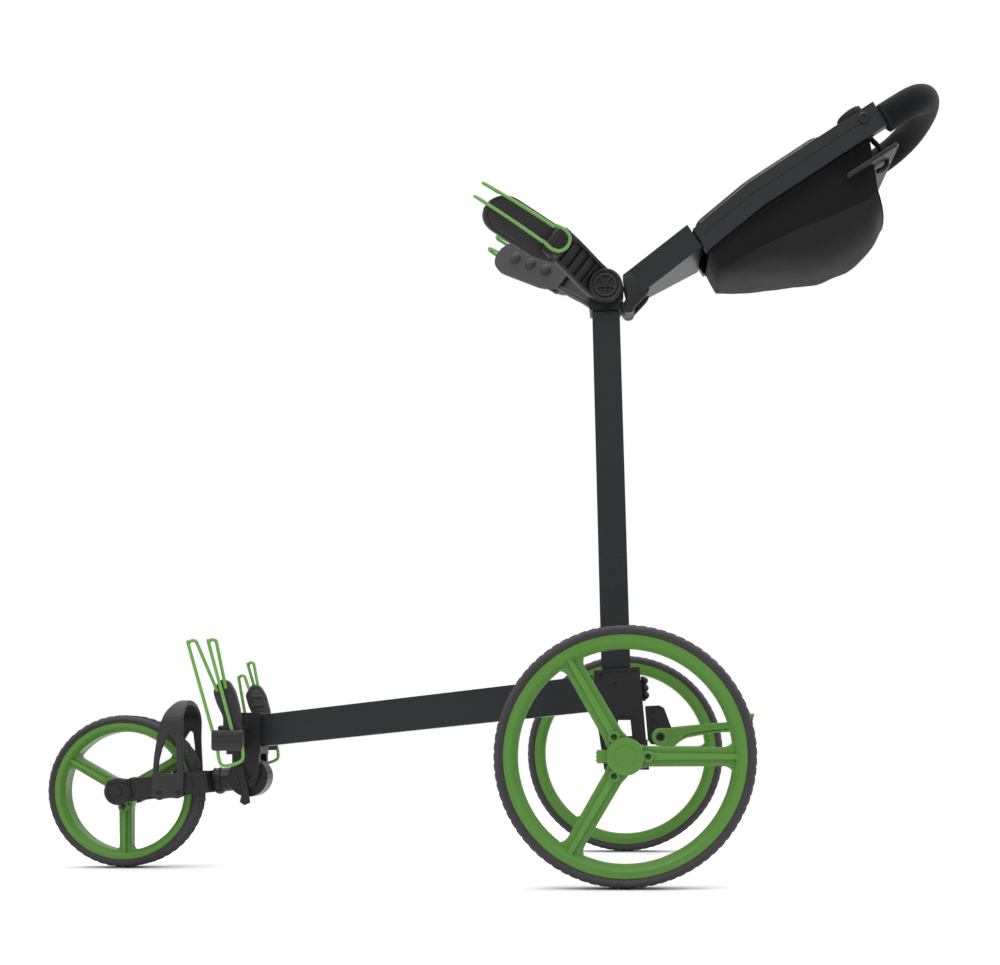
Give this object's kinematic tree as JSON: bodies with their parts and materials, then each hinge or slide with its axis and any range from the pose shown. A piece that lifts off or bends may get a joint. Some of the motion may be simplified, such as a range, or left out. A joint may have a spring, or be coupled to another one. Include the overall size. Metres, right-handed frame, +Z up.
{
  "type": "golf push trolley",
  "caption": "Three-wheeled push cart with a folding column, padded bag cradles, elastic cords, console with net bag, foam loop handle and foot brake; folds flat with its wheels tucked in.",
  "frame": {"origin": "on the ground, in the middle of the bounding box", "axes": "+Z up; the front wheel is towards -X, the handle towards +X; the left side is -Y"},
  "size_m": [1.1656, 0.66, 1.0094],
  "materials": {
    "tube": "black anodised, satin, very fine brushing",
    "plastic": "fine matt grain",
    "grey_plastic": "fine matt grain",
    "green": "satin moulding",
    "cord": "smooth elastic sheath",
    "tyre": "matt solid tyre",
    "pad": "soft matt rubber",
    "steel": "blackened steel",
    "foam": "closed-cell foam sleeve",
    "fabric": "woven and net fabric"
  },
  "bodies": {
    "frame": {"lower_tube": "tube", "rear_bracket": "plastic", "front_block": "plastic", "knuckle_pin": "steel", "lower_cradle_arm_left": "plastic", "lower_cradle_arm_right": "plastic", "lower_buckle_left": "plastic", "lower_buckle_right": "plastic", "lower_cord_left": "cord", "lower_cord_right": "cord", "arm_pivot_pin_left": "steel", "arm_pivot_pin_right": "steel", "brake_housing": "plastic", "column_pivot_pin": "steel"},
    "column": {"column_tube": "tube", "column_foot": "plastic", "column_head": "plastic"},
    "cradle": {"cradle_bolt": "steel", "cradle_arm_left": "plastic", "cradle_arm_right": "plastic", "cradle_pad_left": "pad", "cradle_pad_right": "pad", "upper_buckle_left": "plastic", "upper_buckle_right": "plastic", "upper_cord_left": "cord", "upper_cord_right": "cord"},
    "handle": {"handle_neck": "tube", "handle_pivot_pin": "steel", "handle_rail_left": "tube", "handle_rail_right": "tube", "console_tray": "grey_plastic", "grip_tube": "steel", "grip_foam": "foam", "storage_bag": "fabric"},
    "lid": {"console_lid": "grey_plastic"},
    "knob": {"accessory_knob": "plastic"},
    "fold_lever": {"fold_lever": "plastic"},
    "brake_pedal": {"brake_pedal": "green"},
    "knuckle": {"fork_knuckle": "plastic"},
    "roll_collar": {"roll_collar": "plastic"},
    "fork": {"fork_crown": "tube", "fork_arch": "plastic", "front_axle": "steel"},
    "front_wheel": {"front_rim": "green", "front_tyre": "tyre"},
    "fork_latch": {"fork_latch": "plastic"},
    "left_arm": {"wheel_arm_left": "tube"},
    "left_carrier": {"wheel_carrier_left": "plastic"},
    "left_brake_pin": {"brake_pin_left": "steel"},
    "left_wheel": {"rear_rim_left": "green", "rear_tyre_left": "tyre", "rear_bearing_left": "steel"},
    "left_tab": {"release_tab_left": "green"},
    "right_arm": {"wheel_arm_right": "tube"},
    "right_carrier": {"wheel_carrier_right": "plastic"},
    "right_brake_pin": {"brake_pin_right": "steel"},
    "right_wheel": {"rear_rim_right": "green", "rear_tyre_right": "tyre", "rear_bearing_right": "steel"},
    "right_tab": {"release_tab_right": "green"}
  },
  "joints": [
    {"name": "column_fold", "type": "hinge", "parent": "frame", "child": "column", "pos_m": [0.1402, 0, 0.2525], "axis": [0, -1, 0], "range_deg": [0, 91], "deforming": ["lower_cord_left", "lower_cord_right", "upper_cord_left", "upper_cord_right"]},
    {"name": "cradle_fold", "type": "hinge", "parent": "column", "child": "cradle", "pos_m": [0.1472, 0, 0.7563], "axis": [0, 1, 0], "range_deg": [0, 50]},
    {"name": "handle_fold", "type": "hinge", "parent": "column", "child": "handle", "pos_m": [0.1772, 0, 0.733], "axis": [0, 1, 0], "range_deg": [0, 116], "deforming": ["storage_bag"]},
    {"name": "lid_open", "type": "hinge", "parent": "handle", "child": "lid", "pos_m": [0.26155, 0, 0.82712], "axis": [0, -1, 0], "range_deg": [0, 85]},
    {"name": "knob_turn", "type": "hinge", "parent": "handle", "child": "knob", "pos_m": [0.4606, -0.07, 0.95759], "axis": [-0.5446, 0, 0.8387], "continuous": true},
    {"name": "fold_lever_pull", "type": "hinge", "parent": "frame", "child": "fold_lever", "pos_m": [0.1967, 0, 0.219], "axis": [0, 1, 0], "range_deg": [0, 12]},
    {"name": "brake_press", "type": "hinge", "parent": "frame", "child": "brake_pedal", "pos_m": [0.2188, 0, 0.1709], "axis": [0, 1, 0], "range_deg": [0, 18]},
    {"name": "fork_fold", "type": "hinge", "parent": "frame", "child": "knuckle", "pos_m": [-0.3208, 0, 0.1184], "axis": [0, -1, 0], "range_deg": [0, 140]},
    {"name": "collar_twist", "type": "hinge", "parent": "knuckle", "child": "roll_collar", "pos_m": [-0.36203, 0, 0.11372], "axis": [-0.9936, 0, -0.1129], "range_deg": [0, 60]},
    {"name": "fork_roll", "type": "hinge", "parent": "knuckle", "child": "fork", "pos_m": [-0.37396, 0, 0.11236], "axis": [-0.9936, 0, -0.1129], "range_deg": [0, 90]},
    {"name": "front_wheel_spin", "type": "hinge", "parent": "fork", "child": "front_wheel", "pos_m": [-0.4828, 0, 0.1], "axis": [0, 1, 0], "continuous": true},
    {"name": "latch_pull", "type": "hinge", "parent": "frame", "child": "fork_latch", "pos_m": [-0.3268, 0, 0.132], "axis": [0, -1, 0], "range_deg": [0, 15]},
    {"name": "left_arm_swing", "type": "hinge", "parent": "frame", "child": "left_arm", "pos_m": [0.1732, -0.046, 0.1475], "axis": [0, 0, -1], "range_deg": [0, 58]},
    {"name": "left_wheel_flip", "type": "hinge", "parent": "left_arm", "child": "left_carrier", "pos_m": [0.1732, -0.252, 0.1475], "axis": [1, 0, 0], "range_deg": [0, 90]},
    {"name": "left_wheel_spin", "type": "hinge", "parent": "left_carrier", "child": "left_wheel", "pos_m": [0.1732, -0.3075, 0.1475], "axis": [0, 1, 0], "continuous": true},
    {"name": "left_tab_push", "type": "slide", "parent": "left_wheel", "child": "left_tab", "axis": [1, 0, 0], "range_m": [0, 0.003]},
    {"name": "left_brake_pin_slide", "type": "slide", "parent": "left_carrier", "child": "left_brake_pin", "axis": [0, -1, 0], "range_m": [0, 0.005]},
    {"name": "right_arm_swing", "type": "hinge", "parent": "frame", "child": "right_arm", "pos_m": [0.1732, 0.046, 0.1475], "axis": [0, 0, 1], "range_deg": [0, 58]},
    {"name": "right_wheel_flip", "type": "hinge", "parent": "right_arm", "child": "right_carrier", "pos_m": [0.1732, 0.252, 0.1475], "axis": [-1, 0, 0], "range_deg": [0, 90]},
    {"name": "right_wheel_spin", "type": "hinge", "parent": "right_carrier", "child": "right_wheel", "pos_m": [0.1732, 0.3075, 0.1475], "axis": [0, 1, 0], "continuous": true},
    {"name": "right_tab_push", "type": "slide", "parent": "right_wheel", "child": "right_tab", "axis": [1, 0, 0], "range_m": [0, 0.003]},
    {"name": "right_brake_pin_slide", "type": "slide", "parent": "right_carrier", "child": "right_brake_pin", "axis": [0, 1, 0], "range_m": [0, 0.005]}
  ],
  "couplings": [
    {"joint": "cradle_fold", "follows": "column_fold", "ratio": 0.5495},
    {"joint": "left_arm_swing", "follows": "column_fold", "ratio": 0.6374},
    {"joint": "left_wheel_flip", "follows": "column_fold", "ratio": 0.989},
    {"joint": "left_brake_pin_slide", "follows": "brake_press", "m_per_rad": 0.015915},
    {"joint": "right_arm_swing", "follows": "column_fold", "ratio": 0.6374},
    {"joint": "right_wheel_flip", "follows": "column_fold", "ratio": 0.989},
    {"joint": "right_brake_pin_slide", "follows": "brake_press", "m_per_rad": 0.015915}
  ]
}
